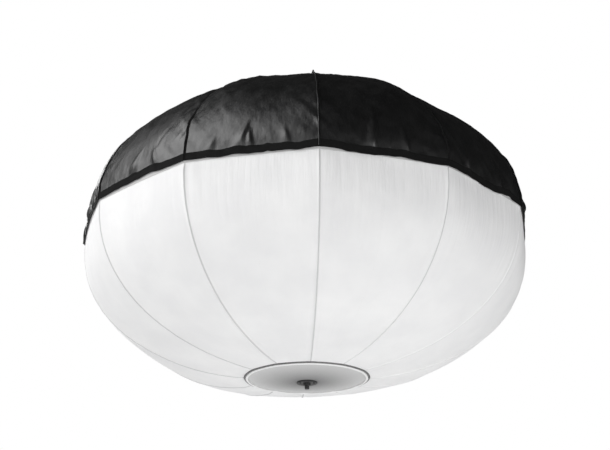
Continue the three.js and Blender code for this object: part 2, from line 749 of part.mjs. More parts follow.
function lamp() {
  const unit = new THREE.Group();
  const half = GUARD_LENGTH / 2;
  const reach = MAST_RADIUS + GAP + 4 + 0.5;
  const driverY = reach + GAP + DRIVER.y / 2;
  const driver = extruded(rectangle(DRIVER.x, DRIVER.y, 4), DRIVER.z);
  unit.add(
    part("lamp_heat_sink", heatSink(), aluminium),
    part("lamp_guard", ring(GUARD_RADIUS - 3, GUARD_RADIUS, -half, half), clear),
    part("guard_cap_top", guardCap(), plastic, 0, 0, half + GAP),
    part("guard_cap_bottom", guardCap(), plastic, 0, 0, -half - GAP - 5),
    part("driver_bracket", driverBracket(), aluminium, 0, 0, DRIVER_Z),
    part("led_driver", driver, aluminium, 0, driverY, DRIVER_Z),
  );
  aroundAxis(4, LAMP_SIDE / 2 + GAP).forEach(([x, y, angle], i) => {
    const board = part(`led_board_${i + 1}`, ledBoard(), boardWhite, x, y, 0);
    board.rotation.z = angle;
    unit.add(board);
  });
  const collar = () => ring(MAST_RADIUS + GAP, MAST_RADIUS + 8, 0, 12);
  unit.add(
    part("lamp_collar_top", collar(), aluminium, 0, 0, half + 2 * GAP + 5),
    part("lamp_collar_bottom", collar(), aluminium, 0, 0, -half - 2 * GAP - 5 - 12),
  );
  const driverTop = DRIVER_Z + DRIVER.z + GAP;
  const vent = ventPlaces[1];
  const powerRoute = [
    [glandX, 0, plateTop + 20],
    [glandX, 0, plateTop],
    [glandX, 0, plateZ - 20],
    [glandX + 14, 14, plateZ - 75],
    [-12, driverY - 4, driverTop + 45],
    [-8, driverY, driverTop + 15],
    [-8, driverY, driverTop],
  ];
  const lampRoute = [
    [0, driverY, DRIVER_Z - GAP],
    [0, driverY + 2, DRIVER_Z - 20],
    [vent[0], vent[1], half + 30],
    [vent[0], vent[1], half - 20],
  ];
  unit.add(
    part("power_cable", cable(powerRoute, 3.5, 30), rubber),
    part("lamp_cable", cable(lampRoute, 3, 14), rubber),
  );
  return unit;
}

// The whole balloon

const balloon = new THREE.Group();
balloon.position.z = -hangZ;
balloon.add(
  part("envelope", envelope(), white),
  part("top_cover", topCover(), black),
  part("hem_tape", hemTape(), tapeBlack),
  part("loop_tape", loopTape(), tapeGrey),
  bottomEnd(),
  crown(),
  liftingGear(),
  blower(),
  controls(),
  lamp(),
);

const light = new THREE.Group();
light.add(balloon);

export default light;
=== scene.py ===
"""Looks of a hanging lighting balloon: sewn white envelope, black cover, end panel, spigot and crown gear."""

import json
import math

import bmesh
import bpy
import numpy as np
from mathutils import Matrix, Vector


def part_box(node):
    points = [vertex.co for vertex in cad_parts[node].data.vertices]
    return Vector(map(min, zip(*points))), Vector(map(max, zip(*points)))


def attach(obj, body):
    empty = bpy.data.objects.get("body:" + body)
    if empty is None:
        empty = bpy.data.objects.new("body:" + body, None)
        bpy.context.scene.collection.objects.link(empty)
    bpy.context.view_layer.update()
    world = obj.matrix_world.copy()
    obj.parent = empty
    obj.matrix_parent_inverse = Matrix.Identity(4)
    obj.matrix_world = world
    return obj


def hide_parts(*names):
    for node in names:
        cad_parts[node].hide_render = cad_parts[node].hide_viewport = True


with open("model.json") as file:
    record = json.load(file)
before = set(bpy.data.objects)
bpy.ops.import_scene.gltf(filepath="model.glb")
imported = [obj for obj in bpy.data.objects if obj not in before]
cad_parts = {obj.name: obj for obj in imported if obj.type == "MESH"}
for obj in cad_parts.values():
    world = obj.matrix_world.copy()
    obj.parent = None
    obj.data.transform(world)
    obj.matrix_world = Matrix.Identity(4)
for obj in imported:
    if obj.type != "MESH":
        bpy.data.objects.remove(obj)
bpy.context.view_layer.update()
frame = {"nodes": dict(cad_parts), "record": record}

MM = 0.001
TURN = 2 * math.pi
GORES = 12
GORE = TURN / GORES

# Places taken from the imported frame
env_low, env_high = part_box("envelope")
hem_low, hem_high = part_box("hem_tape")
hoop_low, hoop_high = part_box("bottom_hoop")
panel_low, panel_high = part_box("bottom_panel")
plate_low, plate_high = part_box("crown_plate")

# The outline that the CAD envelope follows: two superellipse quarters that meet at the widest ring
WIDEST = env_high.x
HEM_Z = hem_low.z
WIDEST_Z = HEM_Z - 0.007 * WIDEST
TOP = {"rise": 0.673 * WIDEST, "upright": 2.24, "across": 2.03}
BOTTOM = {"rise": -0.617 * WIDEST, "upright": 2.19, "across": 2.35}
OUTLINE_POINTS = 8001
CROWN_EDGE = plate_high.x - 1.5 * MM  # the fabrics' edge, just under the crown plate
MOUTH_RADIUS = 0.275 * WIDEST  # the envelope's edge around the hoop

# How far a gore stands out from its chord, as a share of the radius: at the hem, and BULGE_DEPTH below it
BULGE_TOP = 0.008
BULGE_BOTTOM = 0.027
BULGE_DEPTH = 0.2

COVER_OFF = 3.0 * MM  # the cover lies this far out of the envelope
COVER_ROW = 8.0 * MM  # spacing of the cover's rows
LEAST_OFF = 0.2 * MM  # the least relief at the cover's hem
DEEPEST_DIP = 26 * MM  # how much further in the cover may dip above it
HIDDEN_SINK = 34 * MM  # how far the envelope is let in where the cover hides it
ENVELOPE_ROW = 8.5 * MM

# Gore number, and how far the cover's hem hangs low in its middle, in mm
HEM_SAG = {0: 1, 1: 9, 2: 3, 4: -4, 5: 5, 7: -3, 8: 4, 10: -6, 11: -1}

# The hem's unevenness: size in mm, waves once round, and seed
HEM_WAVES = [(3.6, 41, 41), (3.6, 97, 42), (1.9, 233, 43)]
HEM_NOTCH = 8.0  # how far the hem is drawn up at its notches, in mm


# ---------------------------------------------------------------- noise and outline


def smoothstep(x, low, high):
    t = np.clip((x - low) / (high - low), 0, 1)
    return t * t * (3 - 2 * t)


def ripple(u, v, around, along, seed):
    """Smooth noise from -1 to 1. u runs from 0 to 1 round the axis, where it joins up. v is in metres."""
    u, v = np.broadcast_arrays(u, v)
    rows = int(math.ceil(3 * along)) + 3
    grid = np.random.default_rng(seed).uniform(-1, 1, (rows, around))
    x = np.mod(u, 1) * around
    y = np.clip((v + 1.5) * along, 0, rows - 2.001)
    i, j = np.floor(x).astype(int), np.floor(y).astype(int)
    fx, fy = x - i, y - j
    fx, fy = fx * fx * (3 - 2 * fx), fy * fy * (3 - 2 * fy)
    i0, i1 = i % around, (i + 1) % around
    low = grid[j, i0] * (1 - fx) + grid[j, i1] * fx
    high = grid[j + 1, i0] * (1 - fx) + grid[j + 1, i1] * fx
    return low * (1 - fy) + high * fy


def outline_table():
    """The outline from the mouth up to the crown: length from the hem, radius, height and outward normal."""
    first = math.asin((CROWN_EDGE / WIDEST) ** (TOP["across"] / 2))
    last = math.pi - math.asin((MOUTH_RADIUS / WIDEST) ** (BOTTOM["across"] / 2))
    turn = np.linspace(last, first, OUTLINE_POINTS)
    top = turn < math.pi / 2
    rise, upright, across = (np.where(top, TOP[k], BOTTOM[k]) for k in ("rise", "upright", "across"))
    r = np.sin(turn) ** (2 / across)
    z = np.abs(np.cos(turn)) ** (2 / upright)
    out_r = across * r ** (across - 1) / WIDEST
    out_z = upright * z ** (upright - 1) / rise
    size = np.hypot(out_r, out_z)
    radius, height = WIDEST * r, WIDEST_Z + rise * z
    length = np.concatenate([[0], np.cumsum(np.hypot(np.diff(radius), np.diff(height)))])
    length -= np.interp(HEM_Z, height, length)
    return {"s": length, "r": radius, "z": height, "out_r": out_r / size, "out_z": out_z / size}


OUTLINE = outline_table()
S_CROWN = float(OUTLINE["s"][-1])
S_MOUTH = float(OUTLINE["s"][0])
S_TAPE = float(np.interp(hem_high.z, OUTLINE["z"], OUTLINE["s"]))


def along_outline(s, what):
    return np.interp(s, OUTLINE["s"], OUTLINE[what])


def from_seam(phi, s):
    """Metres to the nearest seam, positive where phi grows, and the share of the way to the gore's middle."""
    off = np.mod(phi + GORE / 2, GORE) - GORE / 2
    return off * along_outline(s, "r"), np.abs(off) / (GORE / 2)


def gore_pull(phi, bulge):
    """The radius at phi over the radius at the seams: a chord from seam to seam, bulged out in the middle."""
    off = np.mod(phi, GORE) - GORE / 2
    return math.cos(GORE / 2) / np.cos(off) + bulge * (1 - (off / (GORE / 2)) ** 2)


def place(phi, r, z):
    """Points at azimuth phi, which is 0 on seam 0 at the front and grows towards +X."""
    return np.stack(np.broadcast_arrays(r * np.sin(phi), -r * np.cos(phi), z), -1)


def skin(phi, s, out, drop=0.0):
    """Points at azimuth phi, s up the outline from the hem, out off it, and lowered by drop."""
    phi, s, out = np.broadcast_arrays(phi, s, out)
    r = along_outline(s, "r") + out * along_outline(s, "out_r")
    z = along_outline(s, "z") + out * along_outline(s, "out_z")
    bulge = BULGE_BOTTOM + (BULGE_TOP - BULGE_BOTTOM) * smoothstep(z - HEM_Z, -BULGE_DEPTH, -0.004)
    return place(phi, r * gore_pull(phi, bulge), z - drop)


# ---------------------------------------------------------------- relief of the two fabrics


def below_crown(s):
    """1 over most of the cover, fading to 0 where the crown plate clamps the fabrics."""
    return 1 - smoothstep(s, S_CROWN - 0.12, S_CROWN - 0.02)


def hem_drop(phi, s):
    """How far the cover's edge hangs below its even line, fading out up the cover."""
    u = phi / TURN
    gore = np.floor(u * GORES + 1e-9).astype(int) % GORES
    sag = np.array([HEM_SAG.get(k, 0) for k in range(GORES)])[gore] * smoothstep(from_seam(phi, 0)[1], 0, 1)
    wave = sum(size * ripple(u, 0, count, 1, seed) for size, count, seed in HEM_WAVES)
    notch = HEM_NOTCH * smoothstep(ripple(u, 0, 131, 1, 44), 0.55, 0.85)
    return (sag + wave - notch) * MM * (1 - smoothstep(s, 0.03, 0.12))


def hem_wave(phi, s):
    """How far the cover stands off round its edge."""
    u = phi / TURN
    wave = 1.1 * (1 + ripple(u, 0, 43, 1, 51)) + 0.7 * (1 + ripple(u, 0, 120, 1, 52))
    return wave * MM * (1 - smoothstep(s, 0.01, 0.25))


# Broad swells and hollows of the cover at the front: degrees from seam 0, spread in degrees, mm outwards
LOBES = [(22, 8, 11), (42, 9, -9), (68, 12, 13), (-22, 8, 7), (-44, 9, -3), (-68, 12, 7)]

# Folds at the front: degrees from seam 0, then length, width and height in mm, and slant
FRONT_FOLDS = [
    (11.9, 150, 36, 10, 0.10),
    (20.4, 110, 26, 7, -0.12),
    (15.6, 60, 22, 5, 0.2),
    (-17.5, 120, 30, 9, 0.25),
    (-14.6, 90, 22, 8, -0.1),
    (-6.2, 80, 26, 6, -0.2),
    (-24.5, 70, 24, 6, 0.3),
    (-38.0, 90, 30, 7, -0.3),
    (-47.0, 120, 34, 8, 0.3),
    (38.0, 90, 28, 6, -0.2),
    (50.0, 70, 26, 6, 0.2),
]


def make_folds():
    """Folds that rise from the cover's hem: those at the front, and a few in each other gore."""
    names = ("at", "length", "width", "height", "slant")
    scales = (math.radians(1), MM, MM, MM, 1)
    folds = [{name: value * scale for name, value, scale in zip(names, row, scales)} for row in FRONT_FOLDS]
    rng = np.random.default_rng(12)
    for gore in range(2, GORES - 2):
        for _ in range(4):
            folds.append({
                "at": (gore + rng.uniform(0.1, 0.9)) * GORE,
                "length": rng.uniform(0.07, 0.16),
                "width": rng.uniform(0.020, 0.038),
                "height": rng.uniform(4.0, 9.0) * MM,
                "slant": rng.uniform(-0.3, 0.3),
            })
    return folds


FOLDS = make_folds()


def fold_relief(phi, s):
    """Each fold is widest at the hem and comes to a point, and one flank is steeper than the other."""
    total = np.zeros(np.broadcast(phi, s).shape)
    for fold in FOLDS:
        left = np.clip(1 - (s - 0.012) / fold["length"], 0, 1)
        across = np.mod(phi - fold["at"] + math.pi, TURN) - math.pi
        x = (across * WIDEST - fold["slant"] * s) / (fold["width"] * (0.25 + 0.75 * left))
        crest = np.exp(-np.where(x < 0, (x / 0.75) ** 2, (x / 0.3) ** 2))
        total += fold["height"] * smoothstep(left, 0, 0.7) * crest
    return total * smoothstep(s, 0.008, 0.04)


def cover_relief(phi, s):
    """How far the cover stands off its even shape: puffed gores, folds, crinkles and puckered seams."""
    u = phi / TURN
    away, share = from_seam(phi, s)
    near = np.exp(-np.abs(away) / 0.045)

    # The gores puff out, and the seams between them sink, apart from the front one
    puff = np.clip(1 - (1 - share) ** 2, 0, 1) ** 0.5
    front = np.cos(phi) > math.cos(GORE / 2)
    valley = 19.0 - 18.0 * np.exp(-(away ** 2) / 0.02) * front
    low = smoothstep(s, 0.018, 0.06) * (1 - smoothstep(s, 0.1, 0.4))
    high = smoothstep(s, 0.06, 0.32)
    swell = 4.5 * low * puff + high * (3.0 * puff - valley * (1 - puff))

    around = np.degrees(np.mod(phi + math.pi, TURN) - math.pi)
    lobes = sum(size * np.exp(-(((around - at) / spread) ** 2)) for at, spread, size in LOBES)
    soft = 2.4 * ripple(u, s, 37, 6, 61) * smoothstep(s, 0.02, 0.1) + lobes * high

    # Crinkles lean to both sides, come in patches, and are strongest beside the seams
    patch = 0.25 + 0.75 * smoothstep(ripple(u, s, 29, 5, 62), -0.25, 0.6)
    lean = ripple(u + 0.16 * s, s, 190, 9, 63) + 0.6 * ripple(u - 0.12 * s, s, 330, 15, 64)
    fine = ripple(u + 0.05 * s, s, 520, 24, 65)
    crinkle = (1.7 * lean + 0.5 * fine) * (patch + 1.1 * near) * smoothstep(s, 0.02, 0.05)
    pucker = 0.9 * near * ripple(u, s, 60, 45, 66)

    relief = (swell + soft + crinkle + pucker) * MM + fold_relief(phi, s) + hem_wave(phi, s)
    least = LEAST_OFF - DEEPEST_DIP * smoothstep(s, 0.04, 0.12)
    return np.maximum(relief, least) * below_crown(s)


def envelope_relief(phi, s):
    """How far the envelope stands off its even shape: sewn seams, and folds gathered under the hem."""
    u = phi / TURN
    away = from_seam(phi, s)[0]
    ridge = 1.7 * np.exp(-((away / 0.0028) ** 2)) - 1.0 * np.exp(-(((np.abs(away) - 0.010) / 0.007) ** 2))
    near = np.exp(-np.abs(away) / 0.035)
    gather = 1.9 * np.exp(-np.clip(-s, 0, None) / 0.12) + 0.09
    long_folds = ripple(u + 0.01 * s, s, 260, 5, 71) + 0.6 * ripple(u, s, 410, 7, 72)
    pucker = 0.5 * near * ripple(u, s, 48, 48, 73)
    soft = 1.6 * ripple(u, s, 41, 7, 74)

    # The rear is fuller low down, most of all at the left
    rear = np.clip(-np.cos(phi) + 0.35, 0, 1)
    left = 10 * np.exp(-((np.mod(phi, TURN) - math.radians(235)) / 0.8) ** 2)
    belly = rear * (7 + left) * np.exp(-(((s + 0.66) / 0.2) ** 2))

    relief = ridge + long_folds * gather * (0.5 + 1.9 * near) + pucker + soft * (0.4 + 0.6 * gather) + belly
    shown = smoothstep(-s, 0.004, 0.02)
    off_mouth = 1 - smoothstep(-s, -S_MOUTH - 0.03, -S_MOUTH)
    sunk = HIDDEN_SINK * smoothstep(s, 0.02, 0.12) * below_crown(s)
    return relief * MM * shown * (0.25 + 0.75 * off_mouth) - sunk


# ---------------------------------------------------------------- materials


class Look:
    """A node material. Constants sit on the shader's own sockets, and textures are linked to the rest."""

    def __init__(self, name, roughness=0.5, metallic=0.0, specular=0.5, sheen=0.0, transmission=0.0):
        self.material = bpy.data.materials.new(name)
        self.material.use_nodes = True
        self.tree = self.material.node_tree
        self.shader = self.tree.nodes["Principled BSDF"]
        settings = {"Roughness": roughness, "Metallic": metallic, "Specular IOR Level": specular,
                    "Sheen Weight": sheen, "Transmission Weight": transmission}
        for socket, value in settings.items():
            self.shader.inputs[socket].default_value = value
        self.place = self.node("ShaderNodeTexCoord").outputs["Object"]
        self.normal = None

    def feed(self, socket, value):
        """Links another node's output to a socket, or sets the socket to a plain value."""
        if isinstance(value, bpy.types.NodeSocket):
            self.tree.links.new(value, socket)
        else:
            socket.default_value = value

    def node(self, kind, inputs=None, **settings):
        made = self.tree.nodes.new(kind)
        for key, value in settings.items():
            setattr(made, key, value)
        for key, value in (inputs or {}).items():
            self.feed(made.inputs[key], value)
        return made

    def uv(self, layer):
        return self.node("ShaderNodeUVMap", uv_map=layer).outputs["UV"]

    def at(self, stretch=(1, 1, 1), source=None):
        inputs = {"Vector": source or self.place, "Scale": stretch}
        return self.node("ShaderNodeMapping", inputs).outputs["Vector"]

    def noise(self, scale, detail=3.0, stretch=(1, 1, 1), source=None):
        inputs = {"Vector": self.at(stretch, source), "Scale": scale, "Detail": detail}
        return self.node("ShaderNodeTexNoise", inputs).outputs["Fac"]

    def cells(self, scale):
        return self.node("ShaderNodeTexVoronoi", {"Vector": self.at(), "Scale": scale}).outputs["Distance"]

    def waves(self, source, scale, distortion, direction):
        inputs = {"Vector": source, "Scale": scale, "Distortion": distortion}
        return self.node("ShaderNodeTexWave", inputs, bands_direction=direction).outputs["Fac"]

    def ramp(self, value, low, high, start=0.0, end=1.0):
        inputs = {"Value": value, "From Min": low, "From Max": high, "To Min": start, "To Max": end}
        return self.node("ShaderNodeMapRange", inputs).outputs["Result"]

    def math(self, operation, a, b=0.0):
        return self.node("ShaderNodeMath", {0: a, 1: b}, operation=operation).outputs["Value"]

    def blend(self, share, first, second):
        """A mix of two colours. Of the node's sockets 0 is the share, 6 and 7 the colours, and 2 the mix."""
        return self.node("ShaderNodeMix", {0: share, 6: first, 7: second}, data_type="RGBA").outputs[2]

    def colour(self, share, first, second):
        """Colours the surface between two colours."""
        self.tree.links.new(self.blend(share, first, second), self.shader.inputs["Base Color"])

    def rough(self, value, low, high):
        self.tree.links.new(self.ramp(value, 0.3, 0.7, low, high), self.shader.inputs["Roughness"])

    def bump(self, height, strength, distance):
        inputs = {"Height": height, "Strength": strength, "Distance": distance}
        if self.normal is not None:
            inputs["Normal"] = self.normal
        self.normal = self.node("ShaderNodeBump", inputs).outputs["Normal"]
        self.tree.links.new(self.normal, self.shader.inputs["Normal"])


def grey(value, blue=0.0):
    return (value, value * (1 + blue / 2), value * (1 + blue), 1)


def weave(look, pitch, strength, distance):
    """A plain weave whose threads lie a pitch apart in metres, over the sheet's own coordinates."""
    waves_per_scale = 0.31
    for direction in ("X", "Y"):
        threads = look.waves(look.uv("cloth"), waves_per_scale / pitch, 0.6, direction)
        look.bump(threads, strength, distance)


def white_cloth():
    """White cloth with a grey line beside each seam, partly the stitching's thread and partly painted shade
    of the seam's groove, and creases that run down from the hem.
    """
    look = Look("white_diffuser_cloth", specular=0.25, sheen=0.15)
    place_on = look.node("ShaderNodeSeparateXYZ", {"Vector": look.uv("seams")}).outputs
    across, rise = place_on["X"], place_on["Y"]
    # The grey line beside each seam is partly thread colour and partly painted shade of the seam's groove.
    thread_and_groove_shade = look.ramp(look.math("ABSOLUTE", look.math("SUBTRACT", across, 0.0016)), 0.0010, 0.0036, 1.0, 0.0)
    soil = look.ramp(look.noise(7.0, 4.0), 0.35, 0.7)
    cloth = look.blend(soil, (0.80, 0.80, 0.805, 1), (0.86, 0.86, 0.86, 1))
    look.colour(look.math("MULTIPLY", thread_and_groove_shade, 0.5), cloth, (0.30, 0.30, 0.305, 1))
    look.rough(look.noise(60.0), 0.72, 0.86)
    creases = look.noise(70.0, 3.0, (1, 0.09, 1), look.uv("cloth"))
    look.bump(look.math("MULTIPLY", creases, look.ramp(rise, -0.3, 0.0, 0.12, 1.0)), 0.6, 0.005)
    weave(look, 1.1 * MM, 0.12, 0.0002)
    return look.material


def black_cloth():
    """Coated cloth: a dark sheen over crinkles of two sizes."""
    look = Look("black_coated_nylon", specular=0.85)
    look.colour(look.ramp(look.noise(9.0, 5.0), 0.3, 0.75), grey(0.0028, 0.04), grey(0.0055, 0.05))
    look.rough(look.noise(26.0, 4.0), 0.33, 0.46)
    look.bump(look.noise(42.0, 4.0, (1, 0.5, 1), look.uv("cloth")), 0.5, 0.003)
    look.bump(look.noise(150.0, 3.0, (1, 0.7, 1), look.uv("cloth")), 0.3, 0.0009)
    weave(look, 0.9 * MM, 0.1, 0.00015)
    return look.material


def tape(name, dark, light, rough):
    """Fuzzy tape with fine ribs along it."""
    look = Look(name, specular=0.16)
    look.colour(look.noise(900.0, 2.0), dark, light)
    look.rough(look.noise(40.0), rough, rough + 0.12)
    look.bump(look.noise(1400.0, 2.0), 0.5, 0.0005)
    look.bump(look.waves(look.uv("cloth"), 130.0, 0.4, "Y"), 0.25, 0.0003)
    return look.material


def panel_cloth():
    """Grey cloth with painted shade that darkens it towards the flange, and a light bound edge."""
    look = Look("grey_panel_cloth", specular=0.2, sheen=0.1)
    flat = look.node("ShaderNodeSeparateXYZ", {"Vector": look.place}).outputs
    x_squared, y_squared = (look.math("MULTIPLY", flat[axis], flat[axis]) for axis in ("X", "Y"))
    radius = look.math("SQRT", look.math("ADD", x_squared, y_squared))
    # Painted shade: the grey darkens from the panel's edge in to the flange.
    body = look.blend(look.ramp(radius, 0.02, 0.195), grey(0.15), grey(0.60))
    speck = look.blend(look.ramp(look.noise(500.0, 2.0), 0.3, 0.7, 0.0, 0.16), body, grey(0.2))
    look.colour(look.ramp(radius, 0.2038, 0.2048), speck, grey(0.86))
    look.rough(look.noise(80.0), 0.7, 0.85)
    look.bump(look.noise(900.0, 2.0), 0.3, 0.0003)
    look.bump(look.noise(18.0, 3.0), 0.25, 0.003)
    return look.material


def tinted(colour, times, more):
    """A colour made lighter or darker."""
    return tuple(min(1.0, times * c + more) for c in colour[:3]) + (1,)


def powder_coat(name, colour, rough):
    look = Look(name)
    look.colour(look.ramp(look.noise(120.0, 5.0), 0.45, 0.8), colour, tinted(colour, 1.7, 0.004))
    look.rough(look.noise(90.0, 4.0), rough, rough + 0.14)
    look.bump(look.cells(1100.0), 0.35, 0.00025)
    look.bump(look.noise(300.0, 2.0), 0.2, 0.0003)
    return look.material


def metal(name, colour, rough, stretch=(1, 1, 14)):
    """Bare metal, brushed along the axes where stretch is small, with duller patches."""
    look = Look(name, metallic=1.0)
    look.colour(look.ramp(look.noise(35.0, 6.0), 0.35, 0.75), colour, tinted(colour, 0.62, 0))
    look.rough(look.noise(400.0, 3.0, stretch), rough, rough + 0.18)
    look.bump(look.noise(900.0, 3.0, stretch), 0.12, 0.0002)
    return look.material


def moulded(name, colour, rough, grain=1500.0):
    look = Look(name, specular=0.45)
    look.colour(look.ramp(look.noise(45.0, 5.0), 0.4, 0.85), colour, tinted(colour, 1.5, 0.006))
    look.rough(look.noise(150.0, 3.0), rough, rough + 0.12)
    look.bump(look.cells(grain), 0.2, 0.0002)
    return look.material


def foam():
    look = Look("filter_foam", roughness=0.95, specular=0.1)
    holes = look.cells(900.0)
    # The pores are coloured darker: painted shade inside them.
    look.colour(look.ramp(holes, 0.1, 0.6), grey(0.012), grey(0.09))
    look.bump(holes, 0.9, 0.001)
    return look.material


def led_board():
    look = Look("led_board", specular=0.5)
    dots = look.cells(110.0)
    look.colour(look.ramp(dots, 0.18, 0.24), (0.9, 0.72, 0.18, 1), (0.85, 0.85, 0.82, 1))
    look.rough(look.noise(60.0), 0.35, 0.5)
    return look.material


def frosted():
    look = Look("frosted_guard", roughness=0.4, transmission=0.85)
    look.colour(look.noise(20.0), (0.82, 0.86, 0.88, 1), (0.92, 0.94, 0.95, 1))
    look.rough(look.noise(200.0), 0.3, 0.5)
    look.bump(look.noise(600.0), 0.2, 0.0003)
    return look.material


LOOKS = {
    "white_cloth": white_cloth(),
    "black_cloth": black_cloth(),
    "black_tape": tape("black_tape", grey(0.0025), grey(0.007), 0.8),
    "grey_tape": tape("grey_loop_tape", grey(0.48), grey(0.62), 0.8),
    "grey_cloth": panel_cloth(),
    "hoop": powder_coat("grey_hoop", grey(0.15), 0.5),
    "black_metal": powder_coat("black_powder_coat", grey(0.012), 0.42),
    "aluminium": metal("brushed_aluminium", (0.72, 0.73, 0.75, 1), 0.26),
    "driver_case": powder_coat("driver_case", grey(0.2, 0.05), 0.45),
    "steel": metal("zinc_plated_steel", (0.56, 0.57, 0.6, 1), 0.22, (3, 3, 3)),
    "motor": metal("motor_can", (0.4, 0.41, 0.43, 1), 0.3),
    "black_plastic": moulded("black_moulded_plastic", grey(0.014), 0.42),
    "foam": foam(),
    "rubber": moulded("black_rubber", grey(0.016), 0.7, 700.0),
    "led_board": led_board(),
    "clear_guard": frosted(),
}
KNOB_MARK = moulded("white_mark", grey(0.75), 0.5)


# ---------------------------------------------------------------- mesh helpers


def add_piece(name, mesh, slot, body="balloon", replaces=(), sharp=32):
    mesh.materials.append(LOOKS[slot])
    mesh.shade_smooth()
    mesh.set_sharp_from_angle(angle=math.radians(sharp))
    piece = bpy.data.objects.new(name, mesh)
    bpy.context.scene.collection.objects.link(piece)
    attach(piece, body)
    if replaces:
        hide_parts(*replaces)
    return piece


def add_ring(name, section, slot, node, columns=64):
    """A piece turned from a closed section, in place of a CAD node."""
    return add_piece(name, ring_mesh(name, section, columns), slot, replaces=[node])


def grid_mesh(name, points, closed=True, cloth=None, seams=None):
    """A mesh over a grid of points. Its rows run upwards and its columns run round, and join up if closed."""
    rows, columns = points.shape[:2]
    index = np.arange(rows * columns).reshape(rows, columns)
    across = np.roll(index, -1, axis=1) if closed else index[:, 1:]
    here = index if closed else index[:, :-1]
    faces = np.stack([here[:-1], across[:-1], across[1:], here[1:]], -1).reshape(-1, 4)
    mesh = bpy.data.meshes.new(name)
    mesh.from_pydata(points.reshape(-1, 3).tolist(), [], faces.tolist())
    for layer, values, once_round in (("cloth", cloth, TURN * WIDEST), ("seams", seams, 0.0)):
        if values is None:
            continue
        if closed:
            values = np.concatenate([values, values[:, :1] + np.array([once_round, 0.0])], axis=1)
        corners = np.stack([values[:-1, :-1], values[:-1, 1:], values[1:, 1:], values[1:, :-1]], 2)
        mesh.uv_layers.new(name=layer).data.foreach_set("uv", corners.reshape(-1).astype(np.float32))
    mesh.update()
    return mesh


def sheet_mesh(name, phi, s, points, closed):
    """A sheet round the axis, with its cloth coordinates and its distances from the seams, all in metres."""
    phi, s = np.broadcast_arrays(phi, s)
    cloth, seams = np.stack([phi * WIDEST, s], -1), np.stack([from_seam(phi, s)[0], s], -1)
    return grid_mesh(name, points, closed, cloth, seams)


def gore_columns(step=5.3 * MM):
    """Azimuths of all columns, closer together beside each seam."""
    half = WIDEST * GORE / 2
    beside = np.array([0, 1.2, 2.4, 3.8, 5.4, 7.4, 10.0]) * MM
    wide = np.linspace(beside[-1], half, int(round((half - beside[-1]) / step)) + 1)[1:]
    side = np.concatenate([beside, wide]) / WIDEST
    gore = np.concatenate([side, GORE - side[-2:0:-1]])
    return (gore[None] + GORE * np.arange(GORES)[:, None]).reshape(-1)


def weld(mesh):
    """Joins the points where a closed section meets itself, and turns the faces outwards."""
    welded = bmesh.new()
    welded.from_mesh(mesh)
    bmesh.ops.remove_doubles(welded, verts=welded.verts, dist=1e-7)
    bmesh.ops.recalc_face_normals(welded, faces=welded.faces)
    welded.to_mesh(mesh)
    welded.free()


def from_bmesh(name, mesh):
    made = bpy.data.meshes.new(name)
    mesh.to_mesh(made)
    mesh.free()
    return made


def profile(z, *points, radius=0.0):
    """Turns points (out, up) in mm into (radius, height) in metres. They are counted from radius and z."""
    return [(radius + out * MM, z + up * MM) for out, up in points]


def plate_section(inner, low, high):
    """The section of a flat ring from the radius inner to the box's edge."""
    return [(inner, low.z), (high.x, low.z), (high.x, high.z), (inner, high.z)]


def lathe_mesh(name, points, columns=64, at=(0, 0), flute=None):
    """Turns a list of (radius, height) about an upright axis at x, y. A radius of 0 closes an end."""
    mesh = bmesh.new()
    rings = []
    for radius, height in points:
        if radius == 0:
            rings.append([mesh.verts.new((at[0], at[1], height))])
            continue
        ring = []
        for k in range(columns):
            angle = TURN * k / columns
            r = radius if flute is None else flute(radius, height, angle)
            ring.append(mesh.verts.new((at[0] + r * math.cos(angle), at[1] + r * math.sin(angle), height)))
        rings.append(ring)
    for low, high in zip(rings, rings[1:]):
        for k in range(columns):
            n = (k + 1) % columns
            if len(low) == 1:
                mesh.faces.new((low[0], high[n], high[k]))
            elif len(high) == 1:
                mesh.faces.new((low[k], low[n], high[0]))
            else:
                mesh.faces.new((low[k], low[n], high[n], high[k]))
    bmesh.ops.recalc_face_normals(mesh, faces=mesh.faces)
    return from_bmesh(name, mesh)


def ring_mesh(name, section, columns=64, at=(0, 0)):
    """Turns a closed section of (radius, height) about an upright axis at x, y."""
    mesh = bmesh.new()
    angles = [TURN * k / columns for k in range(columns)]
    rings = [[mesh.verts.new((at[0] + r * math.cos(a), at[1] + r * math.sin(a), z)) for a in angles]
             for r, z in section]
    for low, high in zip(rings, rings[1:] + rings[:1]):
        for k in range(columns):
            n = (k + 1) % columns
            mesh.faces.new((low[k], low[n], high[n], high[k]))
    bmesh.ops.recalc_face_normals(mesh, faces=mesh.faces)
    return from_bmesh(name, mesh)


def rounded(points, radius, steps=3):
    """Rounds the corners of a closed section of (radius, height) points."""
    out = []
    for k, point in enumerate(points):
        here, before, after = Vector(point), Vector(points[k - 1]), Vector(points[(k + 1) % len(points)])
        reach = min(radius, 0.45 * (before - here).length, 0.45 * (after - here).length)
        start = here + (before - here).normalized() * reach
        end = here + (after - here).normalized() * reach
        for i in range(steps + 1):
            t = i / steps
            out.append(tuple((1 - t) ** 2 * start + 2 * t * (1 - t) * here + t * t * end))
    return out


def bevel_edges(mesh, size, steps=2, angle=40):
    mesh.normal_update()
    edges = [e for e in mesh.edges if e.is_manifold and e.calc_face_angle(0) > math.radians(angle)]
    bmesh.ops.bevel(mesh, geom=edges, offset=size, segments=steps, affect="EDGES", profile=0.5,
                    clamp_overlap=True)


